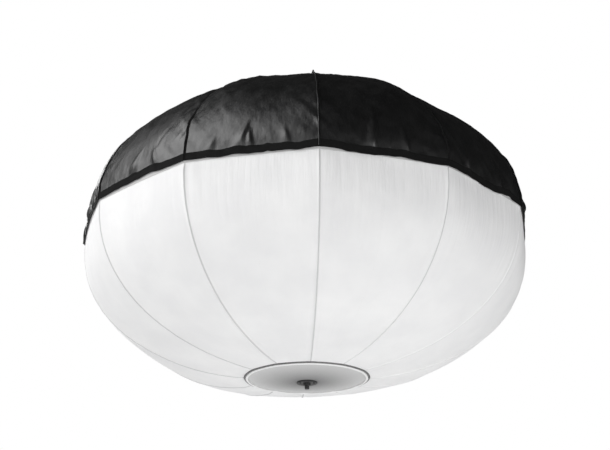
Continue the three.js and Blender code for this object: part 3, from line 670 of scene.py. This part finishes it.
def box_mesh(name, low, high, edge, upright=0.0):
    """A box from low to high, whose upright edges are rounded by upright and the rest by edge."""
    mesh = bmesh.new()
    bmesh.ops.create_cube(mesh, size=1)
    low, high = Vector(low), Vector(high)
    size, middle = high - low, (low + high) / 2
    for v in mesh.verts:
        v.co = Vector(a * b for a, b in zip(v.co, size)) + middle
    if upright:
        edges = [e for e in mesh.edges if abs(e.verts[0].co.z - e.verts[1].co.z) > 0.5 * size.z]
        bmesh.ops.bevel(mesh, geom=edges, offset=upright, segments=6, affect="EDGES", profile=0.5)
    bevel_edges(mesh, edge, 3)
    return from_bmesh(name, mesh)


def turned_block(name, size, angle, middle, edge=0.0):
    """A block with its size in mm, turned by angle about its upright axis, and moved to middle in metres."""
    mesh = bmesh.new()
    bmesh.ops.create_cube(mesh, size=1)
    bmesh.ops.scale(mesh, verts=mesh.verts, vec=[side * MM for side in size])
    if edge:
        bevel_edges(mesh, edge)
    bmesh.ops.rotate(mesh, verts=mesh.verts, cent=(0, 0, 0), matrix=Matrix.Rotation(angle, 3, "Z"))
    bmesh.ops.translate(mesh, verts=mesh.verts, vec=middle)
    return from_bmesh(name, mesh)


def hexagon(name, radius, low, high, at, turned):
    mesh = bmesh.new()
    bmesh.ops.create_cone(mesh, cap_ends=True, segments=6, radius1=radius, radius2=radius, depth=high - low)
    bmesh.ops.rotate(mesh, verts=mesh.verts, cent=(0, 0, 0), matrix=Matrix.Rotation(turned, 3, "Z"))
    bmesh.ops.translate(mesh, verts=mesh.verts, vec=(at[0], at[1], (low + high) / 2))
    bevel_edges(mesh, 0.6 * MM)
    return from_bmesh(name, mesh)


def torus_mesh(name, middle, mean, bar, columns=72, sides=24):
    """An upright ring of round bar, which faces along Y."""
    mesh = bmesh.new()
    rings = []
    for a in (TURN * i / columns for i in range(columns)):
        outwards = Vector((math.cos(a), 0, math.sin(a)))
        ring = []
        for b in (TURN * j / sides for j in range(sides)):
            aside = Vector((0, bar * math.sin(b), middle))
            ring.append(mesh.verts.new(outwards * (mean + bar * math.cos(b)) + aside))
        rings.append(ring)
    for here, following in zip(rings, rings[1:] + rings[:1]):
        for j in range(sides):
            n = (j + 1) % sides
            mesh.faces.new((here[j], following[j], following[n], here[n]))
    bmesh.ops.recalc_face_normals(mesh, faces=mesh.faces)
    return from_bmesh(name, mesh)


def joined_mesh(name, meshes):
    mesh = bmesh.new()
    for part in meshes:
        mesh.from_mesh(part)
        bpy.data.meshes.remove(part)
    return from_bmesh(name, mesh)


def centre_of(low, high):
    return (low.x + high.x) / 2, (low.y + high.y) / 2


# ---------------------------------------------------------------- soft goods

PHI = gore_columns()[None, :]
PHI_OPENED = np.append(PHI - math.pi, math.pi)[None, :]  # the same columns, opened along the seam at the back


def make_envelope():
    """The envelope, open at its back, with fewer rows where the cover hides it."""
    shown_top, hidden_bottom, hidden_rows = 0.024, 0.03, 16
    shown = np.linspace(S_MOUTH, shown_top, int((shown_top - S_MOUTH) / ENVELOPE_ROW))
    hidden = np.linspace(S_CROWN, hidden_bottom, hidden_rows)[::-1]
    s = np.concatenate([shown, hidden])[:, None]
    points = skin(PHI_OPENED, s, envelope_relief(PHI_OPENED, s))
    mesh = sheet_mesh("white_envelope", PHI_OPENED, s, points, False)
    return add_piece("white_envelope", mesh, "white_cloth", replaces=["envelope"], sharp=180)


def make_cover():
    """The cover, from the inside of its turned hem, round the hem's edge and up to the crown."""
    rise = np.linspace(0, S_CROWN, int(S_CROWN / COVER_ROW))
    outside = np.stack([rise, rise, 0 * rise, 0 * rise], 1)
    # Along the cloth, height up the outline, depth under the outside, and drop, in mm
    inside = np.array([(-18, 18, 1.5, 0), (-9, 9, 1.5, 0), (-1, 1, 1.3, 0), (-0.5, 0, 0.6, 0.5)]) * MM
    along, s, depth, drop = np.concatenate([inside, outside]).T[:, :, None]
    points = skin(PHI, s, COVER_OFF - depth + cover_relief(PHI, s), hem_drop(PHI, s) + drop)
    mesh = sheet_mesh("black_cover", PHI, along, points, True)
    return add_piece("black_cover", mesh, "black_cloth", replaces=["top_cover"], sharp=180)


def band(name, slot, rises, outs, relief, drop, replaces):
    """A closed band round the axis. Its section is in mm, as heights up the outline and offs from it."""
    rises, outs = np.array(rises)[:, None] * MM, np.array(outs)[:, None] * MM
    points = skin(PHI, rises, outs + relief(PHI, rises), drop(PHI, rises))
    along = np.concatenate([rises, rises[:1]])
    cloth = np.stack(np.broadcast_arrays(PHI * WIDEST, along), -1)
    mesh = grid_mesh(name, np.concatenate([points, points[:1]]), True, cloth)
    weld(mesh)
    return add_piece(name, mesh, slot, replaces=replaces)


def make_hem_tape():
    wide = S_TAPE / MM
    rises = [-0.6, -0.2, 6, 12, 18, wide, wide + 0.4, wide, 18, 12, 6, -0.2]
    outs = [3.6, 4.3, 4.4, 4.4, 4.4, 4.3, 3.6, 3.1, 3.1, 3.1, 3.1, 3.1]

    def relief(phi, s):
        edge = np.abs(ripple(phi / TURN, s, 700, 60, 81))
        return cover_relief(phi, np.clip(s, 0, None)) + 0.25 * MM * edge

    def drop(phi, s):
        top = smoothstep(s, 0.012, S_TAPE)
        return hem_drop(phi, s) + 1.1 * MM * top * ripple(phi / TURN, 0, 67, 1, 82)

    return band("cover_hem_tape", "black_tape", rises, outs, relief, drop, ["hem_tape"])


def make_loop_tape():
    rises = [-3.4, -3.2, -1.8, 0, 6, 14, 20, 14, 6, 0, -1.8, -3.2]
    outs = [0.8, 1.3, 1.3, 1.2, 1.1, 1.1, 0.8, 0.4, 0.4, 0.4, 0.4, 0.4]

    def relief(phi, s):
        return envelope_relief(phi, np.clip(s, -0.03, 0)) * 0.6 + 0.3 * MM

    def drop(phi, s):
        return 1.3 * MM * (1 + ripple(phi / TURN, 0, 53, 1, 83)) * (1 - smoothstep(s, -0.004, 0.006))

    return band("loop_tape_band", "grey_tape", rises, outs, relief, drop, ["loop_tape"])


# Section of a seam's bound edges, which lean over to one side: across and up from the seam, in mm
BINDING = [(-1.4, -1.5), (-1.3, 3.0), (-0.9, 6.2), (-0.1, 7.0), (0.8, 6.4),
           (2.0, 4.2), (4.2, 2.0), (5.4, 0.9), (5.6, -1.5)]


def make_seam_bindings(name, seams, slot, tall):
    """The bound edges of the cover's gores, which stand up along the seams and sway from side to side."""
    s = np.linspace(0.001, S_CROWN - 0.004, 190)
    parts = []
    for gore in seams:
        seed, u = 100 + gore, gore / GORES
        sway = 1.3 * ripple(u, s, 3, 11, seed) + 0.5 * ripple(u, s, 3, 40, seed + 50)
        stand = 1 + 0.28 * ripple(u, s, 3, 16, seed + 100) + 0.35 * smoothstep(s, 0.35, 0.5)
        columns = []
        for across, up in BINDING:
            phi = gore * GORE + (across + sway) * MM / along_outline(s, "r")
            out = COVER_OFF + cover_relief(phi, s) + up * MM * (tall * stand if up > 0 else 1)
            columns.append(skin(phi, s, out, hem_drop(phi, s)))
        cloth = np.stack(np.broadcast_arrays([across * MM for across, _ in BINDING], s[:, None]), -1)
        parts.append(grid_mesh("binding", np.stack(columns, 1), False, cloth))
    return add_piece(name, joined_mesh(name, parts), slot, sharp=60)


envelope = make_envelope()
cover = make_cover()
hem_band = make_hem_tape()
loop_band = make_loop_tape()
front_binding = make_seam_bindings("cover_front_binding", [0], "black_cloth", 1.1)
bindings = make_seam_bindings("cover_seam_bindings", range(1, GORES), "black_tape", 0.7)


# ---------------------------------------------------------------- the bottom end


def make_end_panel():
    """The end panel: cloth that dips towards the flange, with a cord sewn into its edge."""
    edge, flange_edge, hole = panel_high.x, 37.5 * MM, 7 * MM
    hem, cord_width, cord_height = 10 * MM, 4.4 * MM, 5.5 * MM
    under = panel_high.z - 1.5 * MM
    depth = under - panel_low.z
    phi = np.linspace(0, TURN, 145)[:-1][None, :]
    over_hem, inside = np.linspace(edge, edge - hem, 15), np.linspace(edge - hem, hole, 56)[1:]
    radius = np.concatenate([over_hem, inside])[:, None]
    share = (radius - hole) / (edge - hole)
    inward = np.clip((edge - radius) / (edge - flange_edge), 0, 1)
    sag = depth * (1 - (1 - inward) ** 1.7)
    quilt = 0.5 * MM * np.sin(6 * phi) * np.sin(math.pi * share) * share
    cord = cord_height * np.sqrt(np.clip(1 - ((radius - edge + cord_width) / cord_width) ** 2, 0, 1))
    r = radius * (1 + (gore_pull(phi, BULGE_BOTTOM) - 1) * smoothstep(share, 0.5, 1))
    points = place(phi, r, under - sag + quilt - cord)
    mesh = grid_mesh("end_panel", points[:, ::-1], True)
    return add_piece("end_panel", mesh, "grey_cloth", replaces=["bottom_panel"], sharp=180)


def make_hoop():
    """The hoop around the end panel, which follows the gores."""
    section = rounded(plate_section(hoop_high.x - 4 * MM, hoop_low, hoop_high), 1.3 * MM, 4)
    rows = np.array([*section, section[0]])
    phi = gore_columns(9 * MM)[None, :]
    mesh = grid_mesh("end_hoop", place(phi, rows[:, :1] * gore_pull(phi, BULGE_BOTTOM), rows[:, 1:]), True)
    weld(mesh)
    add_piece("end_hoop", mesh, "hoop", replaces=["bottom_hoop"])


def make_flange():
    low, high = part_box("bottom_flange")
    bore = 5.3 * MM
    slope = profile(low.z, (-1.5, 0), (0, 1.5), radius=high.x)
    section = [(bore, low.z), *slope, (high.x, high.z), (bore, high.z)]
    add_ring("end_flange", rounded(section, 0.7 * MM), "black_metal", "bottom_flange", 96)


def make_spigot():
    """The collar under the flange, with a groove round it, and the stand's pin that it locks."""
    low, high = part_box("lock_collar")
    bore = 5.4 * MM
    rim = profile(low.z, (-1, 0), (0, 1), (0, 2.6), (-0.7, 3.1), (0, 3.6), radius=high.x)
    section = [(bore, low.z), *rim, (high.x, high.z), (bore, high.z)]
    add_ring("end_lock_collar", rounded(section, 0.4 * MM), "black_metal", "lock_collar")
    neck = low.z - 0.6 * MM
    low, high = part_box("spigot")
    points = [(0, low.z), *profile(low.z, (-2, 0), (-1.2, 0.2), (-0.5, 0.8), (0, 2), radius=high.x),
              *profile(neck, (0, -0.5), (-0.5, 0), radius=high.x), *profile(neck, (4.9, 0)),
              *profile(high.z, (4.9, -0.5), (4.3, 0), (0, 0))]
    add_piece("end_spigot", lathe_mesh("end_spigot", points, 48), "black_metal", replaces=["spigot"])


def make_flange_screws():
    head = ((0, 1.1), (1.3, 1.1), (1.5, 0), (2.6, 0), (3.3, 0.5), (3.6, 1.4), (3.6, 2.4), (2, 2.4))
    for k in (1, 2, 3):
        low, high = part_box(f"flange_screw_{k}")
        points = [*profile(low.z, *head), *profile(high.z, (2, 0), (0, 0))]
        cap = lathe_mesh("cap", points, 32, centre_of(low, high))
        add_piece(f"end_flange_screw_{k}", cap, "black_metal", replaces=[f"flange_screw_{k}"])


panel = make_end_panel()
make_hoop()
make_flange()
make_spigot()
make_flange_screws()


# ---------------------------------------------------------------- the crown

MAST_BORE = 16.4 * MM


def make_crown():
    section = plate_section(MAST_BORE, plate_low, plate_high)
    add_ring("crown_disc", rounded(section, 1.2 * MM, 4), "aluminium", "crown_plate", 128)
    for k in range(1, 7):
        low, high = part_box(f"crown_bolt_{k}")
        at = centre_of(low, high)
        head, washer_top = high.z - 4 * MM, high.z - 3.3 * MM
        section = rounded(profile(head, (2.7, -0.2), (5.6, -0.2), (5.6, 0.7), (2.7, 0.7)), 0.2 * MM)
        shank = [*profile(low.z, (0, 0), (2.2, 0), (2.5, 0.4)), *profile(head, (2.5, 0), (0, 0))]
        parts = [ring_mesh("washer", section, 40, at), hexagon("cap", 5 * MM, washer_top, high.z, at, k),
                 lathe_mesh("shank", shank, 20, at)]
        add_piece(f"crown_bolt_head_{k}", joined_mesh("bolt", parts), "steel", replaces=[f"crown_bolt_{k}"])
    section = plate_section(MAST_BORE, *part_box("crown_mast_collar"))
    add_ring("mast_collar_ring", rounded(section, 1 * MM), "aluminium", "crown_mast_collar")


def make_lifting_gear():
    """The cap on the mast's end, and the eye that turns on its stud."""
    low, cap_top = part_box("lifting_plug")
    section = [*profile(low.z, (6.3, 0), (13.7, 0)),
               *profile(cap_top.z, (13.7, -9.7), (19, -9.7), (19, -2.5), (16, 0), (6.3, 0))]
    add_ring("lifting_cap", rounded(section, 0.8 * MM), "steel", "lifting_plug")
    low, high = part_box("swivel_eye")
    bar, mean = 7 * MM, 24 * MM
    middle = high.z - bar - mean
    under = cap_top.z + 0.3 * MM
    stud = [*profile(low.z, (0, 0), (5.4, 0), (6, 0.8)),
            *profile(under, (6, 0), (12.4, 0), (13, 0.6), (13, 3.6), (12.2, 4.8), (10.2, 6.5)),
            *profile(middle, (9, -20.5), (0, -20.5))]
    parts = [torus_mesh("eye", middle, mean, bar), lathe_mesh("stud", stud, 56)]
    mesh = joined_mesh("swivel_eye_forged", parts)
    add_piece("swivel_eye_forged", mesh, "steel", "swivel_eye", ["swivel_eye"])


def make_grille():
    """The intake's grille: a flanged wall, four round wires and three bars across them."""
    low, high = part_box("intake_grille")
    at = centre_of(low, high)
    wall = profile(low.z, (37, 0), (44, 0), (44, 2.5), (40, 3.5), (38, 13), (34, 13), (34, 10), (36, 9))
    parts = [ring_mesh("wall", rounded(wall, 0.7 * MM), 96, at)]
    turns = [TURN * k / 10 for k in range(10)]
    for radius in (7, 14, 21, 28):
        wire = profile(high.z, *((radius + 1.1 * math.cos(a), 0.9 * math.sin(a) - 1.4) for a in turns))
        parts.append(ring_mesh("wire", wire, 64, at))
    for k in range(3):
        middle = (*at, high.z - 1.5 * MM)
        parts.append(turned_block("bar", (70, 2.2, 2.4), k * math.pi / 3, middle, 0.5 * MM))
    mesh = joined_mesh("intake_grille_moulding", parts)
    add_piece("intake_grille_moulding", mesh, "black_plastic", replaces=["intake_grille"])


def make_control_box():
    """The control box, with upright ribs along two of its sides."""
    low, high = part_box("control_box")
    parts = [box_mesh("tray", low, high, 1.2 * MM, 6 * MM)]
    for face in (low.y - 0.9 * MM, high.y - 0.6 * MM):
        for k in range(7):
            x = low.x + (14 + 7.3 * k) * MM
            rib_low = (x - 1.2 * MM, face, low.z + 8 * MM)
            rib_high = (x + 1.2 * MM, face + 1.5 * MM, high.z - 7 * MM)
            parts.append(box_mesh("rib", rib_low, rib_high, 0.4 * MM))
    mesh = joined_mesh("control_box_case", parts)
    add_piece("control_box_case", mesh, "black_plastic", replaces=["control_box"])


def make_lid():
    low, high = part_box("control_box_lid")
    lid = box_mesh("lid", low, high, 0.9 * MM, 6 * MM)
    add_piece("control_box_cover", lid, "black_plastic", replaces=["control_box_lid"])
    make_dial_marks(high.z)
    make_switch_bezel(high.z)
    head = ((1.5, -2), (3.2, -2), (3.2, -1.1), (2.6, -0.3), (1.7, 0), (1.2, 0), (1.1, -0.9), (0, -0.9))
    for k in (1, 2):
        low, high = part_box(f"lid_screw_{k}")
        points = [*profile(low.z, (0, 0), (1.5, 0)), *profile(high.z, *head)]
        cap = lathe_mesh("cap", points, 32, centre_of(low, high))
        add_piece(f"lid_screw_head_{k}", cap, "steel", replaces=[f"lid_screw_{k}"])


def make_dial_marks(top):
    """Marks round the dimmer knob, of which the first and the last are longer."""
    x, y = centre_of(*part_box("dimmer_knob"))
    count, first, step, radius = 11, -135, 27, 15 * MM
    ticks = []
    for k in range(count):
        angle = math.radians(first + step * k)
        length = 3.2 if k in (0, count - 1) else 2.0
        middle = (x - radius * math.sin(angle), y + radius * math.cos(angle), top + 0.05 * MM)
        ticks.append(turned_block("tick", (0.7, length, 0.3), angle, middle))
    marks = add_piece("dial_marks", joined_mesh("dial_marks", ticks), "black_plastic")
    marks.data.materials[0] = KNOB_MARK


def make_switch_bezel(top):
    """Four strips round the power switch."""
    x, y = centre_of(*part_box("power_switch"))
    left, right, near, far = x - 7.4 * MM, x + 7.4 * MM, y - 11.4 * MM, y + 11.4 * MM
    strips = [(left, near, left + 1.4 * MM, far), (right - 1.4 * MM, near, right, far),
              (left, near, right, near + 1.6 * MM), (left, far - 1.6 * MM, right, far)]
    rim = [box_mesh("rim", (x0, y0, top - 0.3 * MM), (x1, y1, top + 0.9 * MM), 0.35 * MM)
           for x0, y0, x1, y1 in strips]
    add_piece("switch_bezel", joined_mesh("switch_bezel", rim), "black_plastic")


def make_knob():
    """The dimmer's fluted knob and the mark on it, both of which turn."""
    low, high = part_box("dimmer_knob")
    x, y = centre_of(low, high)
    base = high.z - 14.8 * MM
    flutes, flute_depth = 16, 0.55 * MM

    def flute(radius, height, angle):
        if radius < 9.5 * MM or height > base + 12.5 * MM or height < base + 2.5 * MM:
            return radius
        return radius - flute_depth * (0.5 + 0.5 * math.cos(flutes * angle))

    side = ((3, 0), (12, 0), (12, 2.2), (11.6, 3), (11.2, 12), (10.4, 13.6), (9.4, 14), (0, 14))
    points = [*profile(low.z, (0, 0), (3, 0)), *profile(base, *side)]
    cap = lathe_mesh("dimmer_knob_cap", points, 128, (x, y), flute)
    add_piece("dimmer_knob_cap", cap, "black_plastic", "dimmer_knob", ["dimmer_knob"])
    mark_low = (x - 0.8 * MM, y + 2.5 * MM, base + 13.6 * MM)
    mark_high = (x + 0.8 * MM, y + 10 * MM, base + 14.6 * MM)
    mark = box_mesh("knob_pointer", mark_low, mark_high, 0.3 * MM)
    pointer = add_piece("knob_pointer", mark, "black_plastic", "dimmer_knob")
    pointer.data.materials[0] = KNOB_MARK


make_crown()
make_lifting_gear()
make_grille()
make_control_box()
make_lid()
make_knob()


# ---------------------------------------------------------------- CAD nodes that stay

for part in frame["record"]["subparts"]:
    node = frame["nodes"][part["node"]]
    if node.hide_render:
        continue
    if not node.material_slots:
        node.data.materials.append(None)
    for material_slot in node.material_slots:
        material_slot.material = LOOKS[part["material_slot"]]


# ---------------------------------------------------------------- floor, light and camera

FLOOR_BELOW = 1.8  # metres from the balloon's lowest point down to the floor
FLOOR_RADIUS = 200.0

# Name, place, what it points at, width, height and watts. All stand above the floor.
LIGHTS = [
    ("key", (-3.5, -1.8, 1.8), (-0.3, -0.1, -0.5), 5.2, 3.4, 180),
    ("rim", (-2.2, 3.4, 1.0), (-0.2, 0, -0.5), 2.4, 2.0, 55),
    ("front", (-1.4, -5.4, -1.7), (0, 0, -0.9), 2.6, 1.2, 26),
    ("right", (3.9, -3.2, -1.7), (0, 0, -0.8), 2.4, 1.2, 56),
]

# The photograph's viewing angle, from below and a little to the left
CAMERA_PLACE = (-0.1729, -3.4690, -1.9875)
CAMERA_LENS = 60.45
CAMERA_TURN = {"yaw": 2.797, "pitch": 22.645, "roll": -0.358}  # degrees


def make_floor():
    """A pale floor that gives off a little light, as a bright studio's floor does."""
    height = env_low.z - FLOOR_BELOW
    mesh = lathe_mesh("floor", [(0, height), (FLOOR_RADIUS, height)], 96)
    mesh.flip_normals()
    floor = bpy.data.objects.new("floor", mesh)
    bpy.context.scene.collection.objects.link(floor)
    look = Look("pale_floor", roughness=0.9, specular=0.1)
    look.colour(look.noise(0.8), grey(0.82), grey(0.84))
    look.shader.inputs["Emission Color"].default_value = grey(1.0)
    look.shader.inputs["Emission Strength"].default_value = 0.5
    mesh.materials.append(look.material)


def area_light(name, place_at, aim, wide, tall, watts):
    light = bpy.data.lights.new(name, "AREA")
    light.shape = "RECTANGLE"
    light.size, light.size_y = wide, tall
    light.energy = watts
    lamp = bpy.data.objects.new(name, light)
    bpy.context.scene.collection.objects.link(lamp)
    lamp.visible_camera = False
    lamp.location = place_at
    lamp.rotation_euler = (Vector(aim) - Vector(place_at)).to_track_quat("-Z", "Y").to_euler()


def make_world():
    """Soft light that is brightest from the left front below. The camera itself sees plain white."""
    world = bpy.data.worlds.new("studio")
    bpy.context.scene.world = world
    world.use_nodes = True
    nodes, links = world.node_tree.nodes, world.node_tree.links
    background = nodes["Background"]
    coords = nodes.new("ShaderNodeTexCoord")
    toward = nodes.new("ShaderNodeVectorMath")
    toward.operation = "DOT_PRODUCT"
    toward.inputs[1].default_value = Vector((-0.62, -0.62, -0.48)).normalized()
    links.new(coords.outputs["Generated"], toward.inputs[0])
    level = nodes.new("ShaderNodeMapRange")
    for socket, value in {"From Min": 0.1, "To Min": 0.015, "To Max": 0.6}.items():
        level.inputs[socket].default_value = value
    links.new(toward.outputs["Value"], level.inputs["Value"])
    path = nodes.new("ShaderNodeLightPath")
    pick = nodes.new("ShaderNodeMix")
    links.new(path.outputs["Is Camera Ray"], pick.inputs[0])
    links.new(level.outputs["Result"], pick.inputs[2])
    pick.inputs[3].default_value = 1.0
    links.new(pick.outputs[0], background.inputs["Strength"])
    background.inputs["Color"].default_value = (1, 1, 1, 1)


def make_camera():
    camera = bpy.data.cameras.new("camera")
    camera.lens = CAMERA_LENS
    camera.sensor_width = 36
    camera.clip_start, camera.clip_end = 0.1, 100
    holder = bpy.data.objects.new("camera", camera)
    bpy.context.scene.collection.objects.link(holder)
    holder.location = CAMERA_PLACE
    yaw, pitch, roll = (math.radians(CAMERA_TURN[name]) for name in ("yaw", "pitch", "roll"))
    ahead = Vector((math.sin(yaw) * math.cos(pitch), math.cos(yaw) * math.cos(pitch), math.sin(pitch)))
    facing = ahead.to_track_quat("-Z", "Y").to_matrix() @ Matrix.Rotation(roll, 3, "Z")
    holder.rotation_euler = facing.to_euler()
    bpy.context.scene.camera = holder


make_floor()
make_world()
make_camera()
for light in LIGHTS:
    area_light(*light)
bpy.context.scene.view_settings.view_transform = "Standard"
